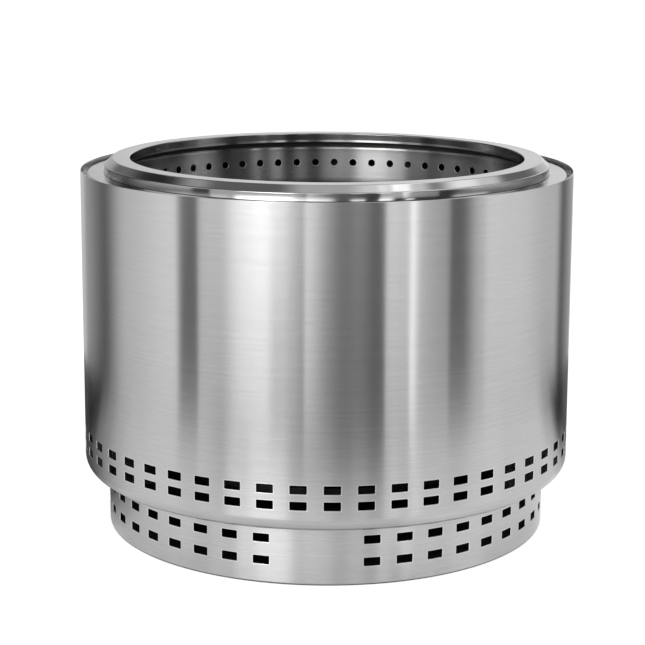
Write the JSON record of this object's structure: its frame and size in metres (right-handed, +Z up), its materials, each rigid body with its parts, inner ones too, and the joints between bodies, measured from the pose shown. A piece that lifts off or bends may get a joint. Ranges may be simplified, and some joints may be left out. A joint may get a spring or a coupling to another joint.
{
  "type": "smokeless fire pit",
  "caption": "Round double-walled fire pit with a loose flame ring, air slots around the base, a lift-out ash pan and grate, on a slotted ring stand.",
  "frame": {"origin": "on the floor, at the centre of the stand's underside", "axes": "+Z up along the axis of the walls, -Y to the front with the plain panel of the stand, +X to the right"},
  "size_m": [0.495, 0.495, 0.3736],
  "materials": {
    "brushed_wall": "brushed around, satin",
    "satin_top": "fine satin",
    "chamber_sheet": "cold-rolled, half bright",
    "pan_sheet": "cold-rolled, half bright",
    "grate_plate": "brushed plate",
    "mill_sheet": "mill finish",
    "fastener": "plain stainless",
    "wire": "drawn wire"
  },
  "bodies": {
    "stand": {"stand_band": "brushed_wall", "stand_seat_ring": "mill_sheet"},
    "fire_pit_body": {"outer_wall": "brushed_wall", "top_deck": "satin_top", "inner_wall": "chamber_sheet", "chamber_floor": "chamber_sheet", "bottom_pan": "mill_sheet", "foot_ring": "mill_sheet", "chamber_supports": "mill_sheet", "wall_spacers": "mill_sheet", "heat_shield": "mill_sheet", "shield_spacers": "fastener", "shield_studs": "fastener", "shield_washers": "fastener", "shield_nuts": "fastener"},
    "flame_ring": {"flame_ring": "satin_top", "flame_ring_collar": "mill_sheet"},
    "ash_pan": {"ash_pan": "pan_sheet", "ash_pan_clips": "pan_sheet", "ash_pan_rivets": "fastener"},
    "right_handle": {"right_ring_handle": "wire"},
    "left_handle": {"left_ring_handle": "wire"},
    "fire_grate": {"fire_grate": "grate_plate"}
  },
  "joints": [
    {"name": "body_lift", "type": "slide", "parent": "stand", "child": "fire_pit_body", "axis": [0, 0, 1], "range_m": [0, 0.1]},
    {"name": "flame_ring_lift", "type": "slide", "parent": "fire_pit_body", "child": "flame_ring", "axis": [0, 0, 1], "range_m": [0, 0.15]},
    {"name": "ash_pan_lift", "type": "slide", "parent": "fire_pit_body", "child": "ash_pan", "axis": [0, 0, 1], "range_m": [0, 0.34]},
    {"name": "fire_grate_lift", "type": "slide", "parent": "ash_pan", "child": "fire_grate", "axis": [0, 0, 1], "range_m": [0, 0.3]},
    {"name": "right_handle_fold", "type": "hinge", "parent": "ash_pan", "child": "right_handle", "pos_m": [0.1645, 0, 0.1234], "axis": [0, -1, 0], "range_deg": [0, 90]},
    {"name": "left_handle_fold", "type": "hinge", "parent": "ash_pan", "child": "left_handle", "pos_m": [-0.1645, 0, 0.1234], "axis": [0, 1, 0], "range_deg": [0, 90]}
  ]
}
